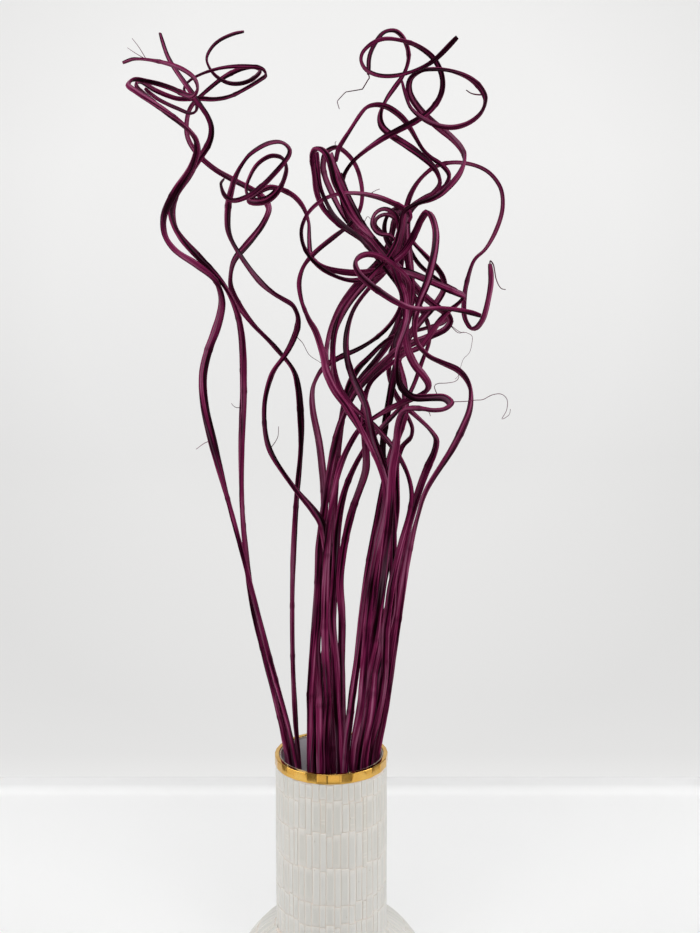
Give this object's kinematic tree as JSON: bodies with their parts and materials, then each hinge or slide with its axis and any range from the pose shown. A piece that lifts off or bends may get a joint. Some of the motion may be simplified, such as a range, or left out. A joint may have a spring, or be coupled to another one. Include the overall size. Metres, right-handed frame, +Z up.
{
  "type": "dried stems in a vase",
  "caption": "Bunch of curled, plum-dyed dried plant stems standing loose in a white mosaic bottle vase with a round body, a straight neck and a metal rim band.",
  "frame": {"origin": "centre of the vase's flat foot, on the surface that it stands on", "axes": "+Z up along the vase's axis, +Y away from the viewer of the picture, +X to the picture's right"},
  "size_m": [0.2956, 0.168, 0.8597],
  "materials": {
    "mosaic": "narrow glued slips, ground and satin polished",
    "rim_brass": "polished",
    "dyed_stem": "dyed plum, dry, slightly grooved"
  },
  "bodies": {
    "root": {"vase_globe": "mosaic", "vase_neck": "mosaic", "rim_band": "rim_brass", "left_stem_1": "dyed_stem", "left_stem_2": "dyed_stem", "left_stem_3": "dyed_stem", "left_stem_4": "dyed_stem", "left_stem_5": "dyed_stem", "middle_stem_1": "dyed_stem", "middle_stem_2": "dyed_stem", "middle_stem_3": "dyed_stem", "middle_stem_4": "dyed_stem", "middle_stem_5": "dyed_stem", "middle_stem_6": "dyed_stem", "middle_stem_7": "dyed_stem", "right_stem_1": "dyed_stem", "right_stem_2": "dyed_stem", "right_stem_3": "dyed_stem", "right_stem_4": "dyed_stem", "right_stem_5": "dyed_stem", "right_stem_6": "dyed_stem", "right_stem_7": "dyed_stem", "right_stem_8": "dyed_stem", "right_stem_9": "dyed_stem", "right_stem_10": "dyed_stem", "right_stem_11": "dyed_stem"}
  },
  "joints": []
}
